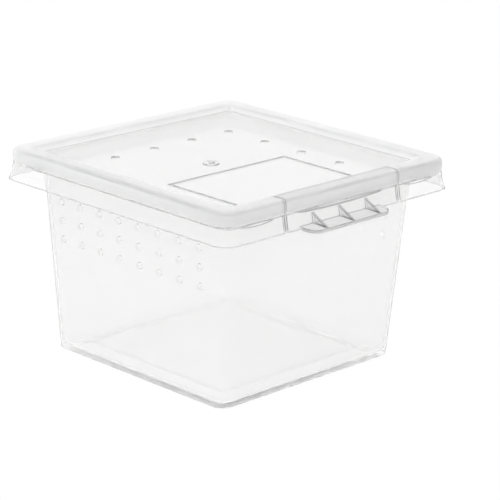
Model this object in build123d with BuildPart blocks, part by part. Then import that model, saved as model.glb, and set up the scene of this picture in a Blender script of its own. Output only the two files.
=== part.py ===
"""A square, see-through tub with a lift-off lid, for keeping small live food.

The lid is a recessed panel in a raised rim with a flared skirt. Two slits free the middle of
the front rim and skirt, so that this latch flap bends outward at the rim's inner edge.
Millimetres, +Z up, +X to the right and the latch at the front, -Y.
The origin is the middle of the tub's footprint, on the surface that it stands on.
"""
from build123d import *
import os

# Overall
overall_height = 79.7
plastic = 1.2

# Tub walls and floor
base_width = 92.8
base_corner = 5.8
mouth_width = 102.3
mouth_corner = 6.5
floor_thickness = 1.5
foot_edge_radius = 0.5
inside_floor_radius = 2.0
foot_ring_inner_width = 82.0
raised_floor_width = 72.0
floor_rise = 1.2

# Upright collar round the tub's mouth
collar_width = 115.4
collar_corner = 4.6
collar_bottom = 72.8
collar_top = 78.2
collar_under_radius = 4.6
shoulder_radius = 4.2
collar_edge_radius = 0.4

# Side wall vents
vent_radius = 1.35
vent_columns = 8
vent_rows = 3
vent_column_pitch = 10.7
vent_row_pitch = 7.5
vent_centre_y = 1.1
vent_centre_height = 53.1

# Lid rim and skirt
lid_width = 118.7
lid_corner = 6.2
rim_edge_radius = 2.0
rim_inner_edge_radius = 1.8
skirt_thickness = 1.1
skirt_bottom = 67.5
flare = 1.4
flare_corner_growth = 0.4

# Lid panel, in a recess with sloping sides
recess_mouth_width = 104.4
recess_mouth_corner = 3.4
recess_floor_width = 101.8
recess_floor_corner = 2.2
recess_depth = 2.2
panel_top = overall_height - recess_depth
panel_bottom = panel_top - plastic
rim_underside = overall_height - plastic

# Vents along the back and right of the lid panel, which share the corner one
lid_vent_radius = 1.6
lid_vent_pitch = 20.0
lid_vent_corner = 27.6
lid_vents_each_way = 4

# Writing field outlined by a groove, and the dimpled mark where the moulding was filled
field_left = -43.0
field_right = 17.9
field_back = -12.4
field_front = -49.7
groove_width = 1.2
groove_depth = 0.6
gate_x = -11.4
gate_y = -2.6
gate_radius = 3.2
gate_height = 0.5
gate_taper = 30.0
dimple_radius = 1.6
dimple_depth = 0.9

# Latch flap
latch_x = 0.4
slit_centre = 30.1
slit_width = 1.0
slit_outer_edge = slit_centre + slit_width / 2
flap_half_width = slit_centre - slit_width / 2
hinge_gap = 0.2
hinge_y = -recess_mouth_width / 2 - plastic - hinge_gap / 2

# Snap ridges inside the skirt, at the collar's lower edge
ridge_height = 1.3
ridge_centre_z = 73.1
ridge_root_y = -58.9
fixed_ridge_face_y = -58.0
fixed_ridge_length = 16.0
fixed_ridge_x = 43.0
flap_ridge_face_y = -57.2
flap_ridge_length = 44.0

# Shallow bite in the collar's lower edge, under which the flap's ridge hooks
bite_height = 1.9
bite_length = 56.0
bite_centre_z = 73.2
bite_floor_y = -56.9

# Finger ledge and its gussets
ledge_x = -1.6
ledge_length = 42.6
ledge_root_y = -59.9
ledge_reach = 7.6
ledge_thickness = 1.3
ledge_root_z = 68.0
ledge_droop = 3.0
ledge_corner = 4.8
ledge_edge_radius = 0.3
gusset_thickness = 1.0
gusset_pitch = 14.1
gusset_count = 3
gusset_root_y = -59.2
gusset_top_z = 72.6
gusset_tip_y = -67.1
gusset_tip_z = 68.25
gusset_foot_z = 67.8


def level(z):
    """The horizontal plane at a height."""
    return Plane.XY.offset(z)


def square(width, corner, mode=Mode.ADD):
    """A square with rounded corners, drawn in the active sketch."""
    return RectangleRounded(width, width, corner, mode=mode)


def skirt_outline(inset, z):
    """The flared skirt's outline at a height, drawn in by the wall where it is the inner face."""
    share = ((panel_bottom - z) / (panel_bottom - skirt_bottom)) ** 2
    growth = flare * share
    corner_growth = flare_corner_growth * share
    return square(lid_width + 2 * growth - 2 * inset, lid_corner + corner_growth - inset)


def collar_channel():
    """The space over the tub's collar, between the skirt and the panel's own sloping wall."""
    with BuildPart() as channel:
        with BuildSketch(level(panel_bottom)):
            square(lid_width - 2 * skirt_thickness, lid_corner - skirt_thickness)
        extrude(amount=rim_underside - panel_bottom)
        with BuildSketch(level(panel_bottom)):
            square(recess_floor_width + 2 * plastic, recess_floor_corner + plastic)
        with BuildSketch(level(rim_underside)):
            square(recess_mouth_width + 2 * plastic, recess_mouth_corner + plastic)
        loft(ruled=True, mode=Mode.SUBTRACT)
    return channel.part


def lid_shell():
    """The whole lid moulding before the latch flap is cut free."""
    flare_middle = (panel_bottom + skirt_bottom) / 2
    with BuildPart() as shell:
        for z in (skirt_bottom, flare_middle, panel_bottom):
            with BuildSketch(level(z)):
                skirt_outline(0, z)
        loft()
        with BuildSketch(level(panel_bottom)):
            square(lid_width, lid_corner)
        extrude(amount=overall_height - panel_bottom)
        fillet(shell.faces().sort_by(Axis.Z)[-1].edges(), rim_edge_radius)

        # Recess of the panel
        with BuildSketch(level(panel_top)):
            square(recess_floor_width, recess_floor_corner)
        with BuildSketch(level(overall_height)):
            square(recess_mouth_width, recess_mouth_corner)
        loft(ruled=True, mode=Mode.SUBTRACT)
        rim_top = shell.faces().filter_by(Plane.XY).sort_by(Axis.Z)[-1]
        fillet(rim_top.inner_wires()[0].edges(), rim_inner_edge_radius)

        # Hollow of the skirt, up to the panel
        for z in (skirt_bottom, flare_middle, panel_bottom):
            with BuildSketch(level(z)):
                skirt_outline(skirt_thickness, z)
        loft(mode=Mode.SUBTRACT)
        add(collar_channel(), mode=Mode.SUBTRACT)
    return shell.part


def lens(x, z, length, height, back_y, front_y):
    """A long, low block on the front, pointed at both ends, between two depths."""
    lens_plane = Plane(origin=(x, back_y, z), x_dir=(1, 0, 0), z_dir=(0, -1, 0))
    with BuildPart() as block:
        with BuildSketch(lens_plane):
            with BuildLine():
                ThreePointArc((-length / 2, 0), (0, height / 2), (length / 2, 0))
                ThreePointArc((length / 2, 0), (0, -height / 2), (-length / 2, 0))
            make_face()
        extrude(amount=back_y - front_y)
    return block.part


def finger_ledge():
    """The ledge under which a fingertip swings the latch flap out, drooping a little outward."""
    ledge_plane = Plane(origin=(ledge_x, ledge_root_y, ledge_root_z), x_dir=(1, 0, 0), z_dir=(0, 0, 1))
    with BuildPart() as ledge:
        with BuildSketch(ledge_plane.rotated((ledge_droop, 0, 0))) as outline:
            with Locations((0, -ledge_reach / 2)):
                Rectangle(ledge_length, ledge_reach)
            fillet(outline.vertices().group_by(Axis.Y)[0], ledge_corner)
        extrude(amount=ledge_thickness / 2, both=True)
        broad_faces = ledge.faces().sort_by(SortBy.AREA)[-2:]
        fillet(broad_faces[0].edges() + broad_faces[1].edges(), ledge_edge_radius)
    return ledge.part


# Tub
with BuildPart() as tub:
    with BuildSketch(level(0)):
        square(base_width, base_corner)
    with BuildSketch(level(collar_bottom)):
        square(mouth_width, mouth_corner)
    loft(ruled=True)
    with BuildSketch(level(collar_bottom)):
        square(collar_width, collar_corner)
    extrude(amount=collar_top - collar_bottom)
    collar_underside = tub.faces().filter_by(Plane.XY).sort_by(Axis.Z)[1]
    fillet(collar_underside.outer_wire().edges(), collar_edge_radius)
    collar_underside = tub.faces().filter_by(Plane.XY).sort_by(Axis.Z)[1]
    fillet(collar_underside.inner_wires()[0].edges(), collar_under_radius)
    fillet(tub.faces().sort_by(Axis.Z)[0].edges(), foot_edge_radius)

    # Inside of the walls, and the stepped seat inside the collar
    wall_slope = (mouth_width - base_width) / collar_bottom
    seat_level = collar_bottom + plastic
    with BuildSketch(level(floor_thickness)):
        square(base_width + wall_slope * floor_thickness - 2 * plastic, base_corner - plastic)
    with BuildSketch(level(seat_level)):
        square(base_width + wall_slope * seat_level - 2 * plastic, mouth_corner - plastic)
    loft(ruled=True, mode=Mode.SUBTRACT)
    with BuildSketch(level(seat_level)):
        square(collar_width - 2 * plastic, collar_corner - plastic)
    extrude(amount=collar_top - seat_level, mode=Mode.SUBTRACT)
    seat = tub.faces().filter_by(Plane.XY).group_by(Axis.Z)[-2][0]
    fillet(seat.inner_wires()[0].edges(), shoulder_radius)
    inside_floor = tub.faces().filter_by(Plane.XY).group_by(Axis.Z)[1][0]
    fillet(inside_floor.edges(), inside_floor_radius)

    # Raised middle of the floor, with sloping sides that meet in mitres
    with BuildSketch(level(floor_thickness)):
        Rectangle(foot_ring_inner_width, foot_ring_inner_width)
    with BuildSketch(level(floor_thickness + floor_rise)):
        Rectangle(raised_floor_width, raised_floor_width)
    loft(ruled=True)
    with BuildSketch(level(0)):
        Rectangle(foot_ring_inner_width, foot_ring_inner_width)
    with BuildSketch(level(floor_rise)):
        Rectangle(raised_floor_width, raised_floor_width)
    loft(ruled=True, mode=Mode.SUBTRACT)

    # Vents through the left and right walls
    vent_middle = Plane(origin=(0, vent_centre_y, vent_centre_height), x_dir=(0, 1, 0), z_dir=(1, 0, 0))
    with BuildSketch(vent_middle):
        with GridLocations(vent_column_pitch, vent_row_pitch, vent_columns, vent_rows):
            Circle(vent_radius)
    extrude(amount=collar_width / 2, both=True, mode=Mode.SUBTRACT)

    # Bite for the latch flap's ridge
    add(lens(latch_x, bite_centre_z, bite_length, bite_height, bite_floor_y, ridge_root_y), mode=Mode.SUBTRACT)
tub.part.label = "tub"

# Lid
with BuildPart() as lid:
    add(lid_shell())

    # Room for the latch flap and the slits beside it
    with BuildSketch(level(skirt_bottom)):
        with Locations((latch_x, hinge_y - lid_width / 2 + hinge_gap / 2)):
            Rectangle(2 * slit_outer_edge, lid_width)
    extrude(amount=overall_height - skirt_bottom, mode=Mode.SUBTRACT)

    # Vents, four along the back and four along the right with one shared
    back_row = [(lid_vent_corner - lid_vent_pitch * n, lid_vent_corner) for n in range(lid_vents_each_way)]
    right_row = [(lid_vent_corner, lid_vent_corner - lid_vent_pitch * n) for n in range(1, lid_vents_each_way)]
    with BuildSketch(level(panel_bottom)):
        with Locations(*back_row, *right_row):
            Circle(lid_vent_radius)
    extrude(amount=plastic, mode=Mode.SUBTRACT)

    # Groove round the writing field
    field_width = field_right - field_left
    field_depth = field_back - field_front
    with BuildSketch(level(panel_top - groove_depth)):
        with Locations(((field_left + field_right) / 2, (field_back + field_front) / 2)):
            Rectangle(field_width, field_depth)
            Rectangle(field_width - 2 * groove_width, field_depth - 2 * groove_width, mode=Mode.SUBTRACT)
    extrude(amount=groove_depth, mode=Mode.SUBTRACT)

    # Gate mark, a low disc with a dimple
    with BuildSketch(level(panel_top)):
        with Locations((gate_x, gate_y)):
            Circle(gate_radius)
    extrude(amount=gate_height, taper=gate_taper)
    with BuildSketch(level(panel_top + gate_height)):
        with Locations((gate_x, gate_y)):
            Circle(dimple_radius)
    extrude(amount=-dimple_depth, mode=Mode.SUBTRACT)

    # Snap ridges at both ends of the front skirt
    for side in (-1, 1):
        ridge_x = side * fixed_ridge_x
        add(lens(ridge_x, ridge_centre_z, fixed_ridge_length, ridge_height, fixed_ridge_face_y, ridge_root_y))
lid.part.label = "lid"

# Latch flap, hinged at the rim's inner edge
with BuildPart() as latch_flap:
    add(lid_shell())
    with BuildSketch(level(skirt_bottom)):
        with Locations((latch_x, hinge_y - lid_width / 2 - hinge_gap / 2)):
            Rectangle(2 * flap_half_width, lid_width)
    extrude(amount=overall_height - skirt_bottom, mode=Mode.INTERSECT)
    add(lens(latch_x, ridge_centre_z, flap_ridge_length, ridge_height, flap_ridge_face_y, ridge_root_y))
    add(finger_ledge())

    # Gussets between the flap and its ledge
    for n in range(gusset_count):
        gusset_x = ledge_x + gusset_pitch * (n - (gusset_count - 1) / 2)
        with BuildSketch(Plane(origin=(gusset_x, 0, 0), x_dir=(0, 1, 0), z_dir=(1, 0, 0))):
            with BuildLine():
                Polyline(
                    (gusset_root_y, gusset_top_z),
                    (gusset_root_y, gusset_foot_z),
                    (gusset_tip_y, gusset_foot_z),
                    (gusset_tip_y, gusset_tip_z),
                    close=True,
                )
            make_face()
        extrude(amount=gusset_thickness / 2, both=True)
latch_flap.part.label = "latch_flap"

os.makedirs("parts", exist_ok=True)
for piece in (tub, lid, latch_flap):
    box = piece.part.bounding_box()
    print(piece.part.label, len(piece.part.solids()), "solid", box.min, box.max)
export_step(tub.part, "parts/tub.step")
export_step(lid.part, "parts/lid.step")
export_step(latch_flap.part, "parts/latch_flap.step")
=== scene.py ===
"""A see-through plastic breeding box on a white table, lit by soft studio lamps.

The tub, the lid and its latch flap come from the frame and get their plastic here.
Lengths are in metres, from the middle of the tub's footprint.
"""

from math import cos, radians, sin

import bpy
from mathutils import Matrix, Vector


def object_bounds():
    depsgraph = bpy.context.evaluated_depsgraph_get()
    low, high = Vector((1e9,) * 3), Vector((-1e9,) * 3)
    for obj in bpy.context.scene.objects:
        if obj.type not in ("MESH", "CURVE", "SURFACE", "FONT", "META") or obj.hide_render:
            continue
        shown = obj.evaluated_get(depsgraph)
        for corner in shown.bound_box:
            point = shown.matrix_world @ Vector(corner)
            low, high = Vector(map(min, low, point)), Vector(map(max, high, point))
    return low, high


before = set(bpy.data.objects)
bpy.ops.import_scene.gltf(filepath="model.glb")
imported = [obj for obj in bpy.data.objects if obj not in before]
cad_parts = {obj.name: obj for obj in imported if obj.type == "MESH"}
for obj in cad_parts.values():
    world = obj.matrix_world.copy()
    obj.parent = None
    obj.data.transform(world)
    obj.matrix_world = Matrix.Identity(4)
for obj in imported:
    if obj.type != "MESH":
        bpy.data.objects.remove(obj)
cad_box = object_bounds()

# Camera: a long lens a little above the box, turned to its near corner
VIEW_AZIMUTH = -45.52
VIEW_ELEVATION = 17.63
VIEW_ROLL = 1.49
VIEW_DISTANCE = 0.9022
VIEW_ACROSS = 0.01037
VIEW_ABOVE = 0.03857
LENS = 166.54
SENSOR = 36.0

# Table: a white plane just under the box
TABLE_HALF = 4.0
TABLE_DROP = 0.0002
TABLE_GREY = 0.9
TABLE_GLOW = 0.97

# Light: an even white sky and two soft lamps
SKY_GREY = 1.0
LAMP_DISTANCE = 1.1
KEY_LAMP = dict(azimuth=-100, elevation=50, size=0.8, watts=6.0)
FILL_LAMP = dict(azimuth=30, elevation=35, size=0.9, watts=3.0)
BOUNCES_IN_THE_PLASTIC = 24
BOUNCES_OFF_MILK = 12

# Plastic: how clear it is, how it bends and dims light, and its faint milky clouds
TUB_CLEARNESS = 0.9
LID_CLEARNESS = 0.88
REFRACTION = 1.12
DEPTH_GREY = 0.5
DEPTH_PER_METRE = 3.0
CLOUDS = dict(Scale=30.0, Detail=3.0, Roughness=0.5)
CLOUD_DEPTH = 0.012

# Ripple and grain of the moulded faces
RIPPLES = dict(Scale=45.0, Detail=2.0, Roughness=0.45)
RIPPLE_BUMP = dict(Strength=0.12, Distance=0.0006)
GRAINS = dict(Scale=900.0, Detail=3.0, Roughness=0.6)
GRAIN_BUMP = dict(Strength=0.08, Distance=0.00008)

# Moulded edges, which get painted shade: how wide they are, and how far a rounded-off
# normal agrees with the true one where the edge starts and where it is full
TUB_EDGE_WIDTH = 0.0005
LID_EDGE_WIDTH = 0.0006
EDGE_STARTS = 0.985
EDGE_FULL = 0.96
EDGE_SAMPLES = 6

# Least and most roughness of each face
WALL_POLISH = (0.2, 0.26)
FOOT_POLISH = (0.2, 0.26)
SKIRT_POLISH = (0.17, 0.23)
RIM_POLISH = (0.28, 0.32)
PANEL_POLISH = (0.1, 0.16)

# Grey of the tub's open faces and edges, from 0 for black to 1 for white: the faces are the
# plastic's pale grey with painted shade that differs from part to part, and the edge greys are
# painted shade
FOOT_FACE = 0.975
FOOT_EDGE_SHADE = 0.87
WALL_FACE = 0.974
WALL_EDGE_SHADE = 0.85
COLLAR_FACE = 1.0

# Grey of the lid's open faces: the plastic's pale grey with painted shade that differs from part
# to part, darkest in the finger grip
PANEL_FACE = 0.942
RIM_FACE = 1.0
SKIRT_FACE = 0.94
GRIP_FACE = 0.88

# Painted shade on the band round the rim's outside, at its top and its foot, darker at the front
# than at the back and sides
BAND_SHADE_TOP_FRONT = 0.74
BAND_SHADE_TOP_BACK = 0.95
BAND_SHADE_FOOT_FRONT = 0.86
BAND_SHADE_FOOT_ASIDE = 1.0

# Painted shade along the lid's edges, near black at the slits and the finger grip
PANEL_EDGE_SHADE = 0.65
RIM_EDGE_SHADE = 0.4
SEAM_EDGE_SHADE = 0.9
HEM_EDGE_SHADE = 0.7
SKIRT_EDGE_SHADE = 0.4
SLIT_EDGE_SHADE = 0.03
RIDGE_EDGE_SHADE = 0.2
GRIP_EDGE_SHADE = 0.02

# Heights where the faces meet
FOOT_TOP = 0.0013
HEM_TOP = 0.0683
COLLAR_FOOT = 0.0735
SEAM_BOTTOM = 0.0737
RIM_FOOT = 0.0744
SEAM_TOP = 0.0749
BAND_TOP = 0.0776

# Distances from the middle lines where the faces meet
RIDGE_HALF = 0.0278
FLAP_HALF = 0.0315
PANEL_HALF = 0.0509
CORNER_START = 0.05315
BAND_INSIDE = 0.0582
BAND_OUTSIDE = 0.0591
GRIP_START = 0.0612

# Widths over which one grey goes into the next
STEP = 0.0001
BAND_TURN = 0.012


def feed(tree, source, socket):
    """Links a socket to another one, or gives it a plain value."""
    if isinstance(source, bpy.types.NodeSocket):
        tree.links.new(source, socket)
    else:
        socket.default_value = source


def node(tree, kind, **sockets):
    """Adds a shader node and feeds its inputs by name."""
    made = tree.nodes.new(kind)
    for name, source in sockets.items():
        feed(tree, source, made.inputs[name.replace("_", " ")])
    return made


def maths(tree, operation, *sources):
    """Adds a maths node for one or two values."""
    made = tree.nodes.new("ShaderNodeMath")
    made.operation = operation
    for place, source in enumerate(sources):
        feed(tree, source, made.inputs[place])
    return made.outputs[0]


def map_range(tree, source, **limits):
    """Stretches one range of values to another, and holds it at the ends."""
    return node(tree, "ShaderNodeMapRange", Value=source, **limits).outputs["Result"]


def blend(tree, share, first, second):
    """Goes from the first value to the second as the share goes from 0 to 1."""
    return node(tree, "ShaderNodeMix", Factor=share, A=first, B=second).outputs["Result"]


def beyond(tree, value, limit, over=STEP):
    """0 below a limit, rising to 1 over a width above it."""
    return map_range(tree, value, From_Min=limit, From_Max=limit + over)


def aside(tree, place, axis):
    """Distance from the middle line, to either side."""
    return maths(tree, "ABSOLUTE", place[axis])


def from_middle(tree, place):
    """Distance from the middle lines, the same all along each side of the box."""
    return maths(tree, "MAXIMUM", aside(tree, place, "X"), aside(tree, place, "Y"))


def from_middle_rounded(tree, place):
    """That distance along the sides, but following the round at the rim's corners."""
    squares = []
    for axis in ("X", "Y"):
        past = maths(tree, "SUBTRACT", aside(tree, place, axis), CORNER_START)
        past = maths(tree, "MAXIMUM", past, 0.0)
        squares.append(maths(tree, "MULTIPLY", past, past))
    round_the_corner = maths(tree, "SQRT", maths(tree, "ADD", *squares))
    return maths(tree, "ADD", round_the_corner, CORNER_START)


def grey(value):
    """A neutral colour."""
    return (value, value, value, 1.0)


def noise(tree, where, settings):
    """Soft noise that stays with the plastic."""
    return node(tree, "ShaderNodeTexNoise", Vector=where, **settings).outputs["Fac"]


def new_material(name):
    """An empty node material, its tree and its output node."""
    material = bpy.data.materials.new(name)
    material.use_nodes = True
    tree = material.node_tree
    tree.nodes.clear()
    return material, tree, tree.nodes.new("ShaderNodeOutputMaterial")


def rippled_surface(tree, where, ripple):
    """Normal of the moulded faces, with their ripple and fine grain."""
    rippled = node(tree, "ShaderNodeBump", Height=ripple, **RIPPLE_BUMP)
    grain = noise(tree, where, GRAINS)
    grained = node(tree, "ShaderNodeBump", Height=grain, Normal=rippled.outputs["Normal"],
                   **GRAIN_BUMP)
    return grained.outputs["Normal"]


def edge_shade_share(tree, width):
    """1 along the moulded edges, where painted shade goes, and 0 on the open faces."""
    rounded = node(tree, "ShaderNodeBevel", Radius=width)
    rounded.samples = EDGE_SAMPLES
    true = tree.nodes.new("ShaderNodeNewGeometry")
    agreement = tree.nodes.new("ShaderNodeVectorMath")
    agreement.operation = "DOT_PRODUCT"
    feed(tree, rounded.outputs["Normal"], agreement.inputs[0])
    feed(tree, true.outputs["True Normal"], agreement.inputs[1])
    return map_range(tree, agreement.outputs["Value"], From_Min=EDGE_STARTS, From_Max=EDGE_FULL)


def polish(tree, ripple, limits):
    """Roughness of one face, which varies with its ripple."""
    return map_range(tree, ripple, To_Min=limits[0], To_Max=limits[1])


def tub_finish(tree, place, ripple):
    """Roughness, face grey with painted shade, and painted edge shade of the tub's foot, walls and
    collar.
    """
    walls = beyond(tree, place["Z"], FOOT_TOP)
    collar = beyond(tree, place["Z"], COLLAR_FOOT)
    foot_polish, wall_polish = polish(tree, ripple, FOOT_POLISH), polish(tree, ripple, WALL_POLISH)
    rough = blend(tree, walls, foot_polish, wall_polish)
    face = blend(tree, collar, blend(tree, walls, FOOT_FACE, WALL_FACE), COLLAR_FACE)
    edge_shade = blend(tree, walls, FOOT_EDGE_SHADE, WALL_EDGE_SHADE)
    return rough, face, edge_shade


def band_shade(tree, place):
    """Painted shade on the band round the rim's outside, darkest at the top of its front."""
    to_the_back = beyond(tree, place["Y"], -BAND_OUTSIDE, 2 * BAND_OUTSIDE)
    off_the_front = beyond(tree, place["Y"], -BAND_OUTSIDE, BAND_TURN)
    up_the_band = beyond(tree, place["Z"], RIM_FOOT, BAND_TOP - RIM_FOOT)
    top = blend(tree, to_the_back, BAND_SHADE_TOP_FRONT, BAND_SHADE_TOP_BACK)
    foot = blend(tree, off_the_front, BAND_SHADE_FOOT_FRONT, BAND_SHADE_FOOT_ASIDE)
    return blend(tree, up_the_band, foot, top)


def lid_edge_shade(tree, place, border, grip):
    """Painted shade along the edges: ridge, slits and skirt, then hem, seam, rim, panel and grip.
    """
    across, height = aside(tree, place, "X"), place["Z"]
    edge_shade = blend(tree, beyond(tree, across, RIDGE_HALF), RIDGE_EDGE_SHADE, SLIT_EDGE_SHADE)
    edge_shade = blend(tree, beyond(tree, across, FLAP_HALF), edge_shade, SKIRT_EDGE_SHADE)
    edge_shade = blend(tree, beyond(tree, height, HEM_TOP), HEM_EDGE_SHADE, edge_shade)
    edge_shade = blend(tree, beyond(tree, height, SEAM_BOTTOM), edge_shade, SEAM_EDGE_SHADE)
    edge_shade = blend(tree, beyond(tree, height, SEAM_TOP), edge_shade, RIM_EDGE_SHADE)
    edge_shade = blend(tree, border, PANEL_EDGE_SHADE, edge_shade)
    return blend(tree, grip, edge_shade, GRIP_EDGE_SHADE)


def lid_finish(tree, place, ripple):
    """Roughness, face grey with painted shade, and painted edge shade of the lid's panel, rim,
    skirt and finger grip.
    """
    reach = from_middle(tree, place)
    border = beyond(tree, reach, PANEL_HALF)
    grip = beyond(tree, reach, GRIP_START)
    rim = beyond(tree, place["Z"], RIM_FOOT)
    band_width = BAND_OUTSIDE - BAND_INSIDE
    band = beyond(tree, from_middle_rounded(tree, place), BAND_INSIDE, band_width)

    skirt_polish, rim_polish = polish(tree, ripple, SKIRT_POLISH), polish(tree, ripple, RIM_POLISH)
    rough = blend(tree, rim, skirt_polish, rim_polish)
    rough = blend(tree, border, polish(tree, ripple, PANEL_POLISH), rough)

    # painted shade on the rim's outer band, darkest at the top of the front
    rim_face = blend(tree, band, RIM_FACE, band_shade(tree, place))
    face = blend(tree, rim, SKIRT_FACE, rim_face)
    face = blend(tree, border, PANEL_FACE, face)
    face = blend(tree, grip, face, GRIP_FACE)
    return rough, face, lid_edge_shade(tree, place, border, grip)


def clear_plastic(name, clearness, edge_width, finish):
    """Natural polypropylene: clear, slightly milky, with painted shade along its moulded edges and
    on some faces.
    """
    material, tree, output = new_material(name)
    where = tree.nodes.new("ShaderNodeTexCoord").outputs["Object"]
    place = node(tree, "ShaderNodeSeparateXYZ", Vector=where).outputs
    ripple = noise(tree, where, RIPPLES)
    rough, face, edge_shade = finish(tree, place, ripple)

    milk = maths(tree, "MULTIPLY", noise(tree, where, CLOUDS), CLOUD_DEPTH)
    clouded = maths(tree, "SUBTRACT", face, milk)
    # painted shade along the moulded edges, laid over the face grey
    colour = blend(tree, edge_shade_share(tree, edge_width), clouded, edge_shade)

    plastic = node(tree, "ShaderNodeBsdfPrincipled", IOR=REFRACTION,
                   Transmission_Weight=clearness, Base_Color=colour, Roughness=rough,
                   Normal=rippled_surface(tree, where, ripple))
    depth = node(tree, "ShaderNodeVolumeAbsorption", Color=grey(DEPTH_GREY),
                 Density=DEPTH_PER_METRE)
    feed(tree, plastic.outputs["BSDF"], output.inputs["Surface"])
    feed(tree, depth.outputs["Volume"], output.inputs["Volume"])
    return material


def give(node_name, material):
    """Finishes one piece with one material."""
    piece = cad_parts[node_name]
    piece.data.materials.clear()
    piece.data.materials.append(material)


def seen_directly(tree):
    """1 for what the camera sees, also mirrored or through plastic, and 0 for light."""
    path = tree.nodes.new("ShaderNodeLightPath").outputs
    either = maths(tree, "MAXIMUM", path["Is Camera Ray"], path["Is Glossy Ray"])
    return maths(tree, "MAXIMUM", either, path["Is Transmission Ray"])


def table_material():
    """White table: shown as white paper, and still lit and shaded by the lamps."""
    material, tree, output = new_material("table_white")
    paper = node(tree, "ShaderNodeBsdfDiffuse", Color=grey(TABLE_GREY))
    glow = node(tree, "ShaderNodeEmission", Color=grey(1.0), Strength=1.0)
    shown = map_range(tree, seen_directly(tree), To_Max=TABLE_GLOW)
    mix = node(tree, "ShaderNodeMixShader", Fac=shown)
    feed(tree, paper.outputs[0], mix.inputs[1])
    feed(tree, glow.outputs[0], mix.inputs[2])
    feed(tree, mix.outputs[0], output.inputs["Surface"])
    return material


def table():
    """The table top, its upper face just under the box."""
    bpy.ops.object.select_all(action="DESELECT")
    bpy.ops.mesh.primitive_plane_add(size=2 * TABLE_HALF, location=(0, 0, -TABLE_DROP))
    top = bpy.context.object
    top.name = "table_top"
    top.data.materials.append(table_material())


def sky():
    """Even studio light from all round, seen as white behind the box."""
    world = bpy.data.worlds.new("studio")
    bpy.context.scene.world = world
    world.use_nodes = True
    tree = world.node_tree
    tree.nodes.clear()
    output = tree.nodes.new("ShaderNodeOutputWorld")
    background = node(tree, "ShaderNodeBackground", Color=grey(SKY_GREY), Strength=1.0)
    feed(tree, background.outputs[0], output.inputs["Surface"])


def looking_from(azimuth, elevation):
    """Direction from the box to a lamp or the camera, its azimuth counted from the front."""
    turn, rise = radians(azimuth), radians(elevation)
    return Vector((sin(turn) * cos(rise), -cos(turn) * cos(rise), sin(rise)))


def lamp(name, azimuth, elevation, size, watts):
    """A square soft lamp that looks at the middle of the box."""
    light = bpy.data.lights.new(name, "AREA")
    light.shape = "SQUARE"
    light.size = size
    light.energy = watts
    stand = bpy.data.objects.new(name, light)
    bpy.context.scene.collection.objects.link(stand)
    away = looking_from(azimuth, elevation)
    stand.location = away * LAMP_DISTANCE + Vector((0, 0, cad_box[1][2] / 2))
    stand.rotation_euler = away.to_track_quat("Z", "Y").to_euler()


def camera():
    """The photograph's camera, from its azimuth, elevation, roll and distance."""
    back = looking_from(VIEW_AZIMUTH, VIEW_ELEVATION)
    level_right = Vector((0, 0, 1)).cross(back).normalized()
    level_up = back.cross(level_right)
    roll = radians(VIEW_ROLL)
    right = cos(roll) * level_right + sin(roll) * level_up
    up = cos(roll) * level_up - sin(roll) * level_right
    eye = back * VIEW_DISTANCE + right * VIEW_ACROSS + up * VIEW_ABOVE

    data = bpy.data.cameras.new("camera")
    data.lens = LENS
    data.sensor_width = SENSOR
    tripod = bpy.data.objects.new("camera", data)
    bpy.context.scene.collection.objects.link(tripod)
    turned = Matrix((right, up, back)).transposed().to_4x4()
    tripod.matrix_world = Matrix.Translation(eye) @ turned
    bpy.context.scene.camera = tripod


def light_paths():
    """Lets light find its way out of the clear walls, which would show black lines otherwise."""
    paths = bpy.context.scene.cycles
    paths.max_bounces = BOUNCES_IN_THE_PLASTIC + BOUNCES_OFF_MILK
    paths.glossy_bounces = BOUNCES_IN_THE_PLASTIC
    paths.transmission_bounces = BOUNCES_IN_THE_PLASTIC
    paths.diffuse_bounces = BOUNCES_OFF_MILK


tub_plastic = clear_plastic("tub_plastic", TUB_CLEARNESS, TUB_EDGE_WIDTH, tub_finish)
lid_plastic = clear_plastic("lid_plastic", LID_CLEARNESS, LID_EDGE_WIDTH, lid_finish)
give("tub", tub_plastic)
give("lid", lid_plastic)
give("latch_flap", lid_plastic)

table()
sky()
lamp("key_lamp", **KEY_LAMP)
lamp("fill_lamp", **FILL_LAMP)
camera()
light_paths()

bpy.context.scene.view_settings.view_transform = "Standard"
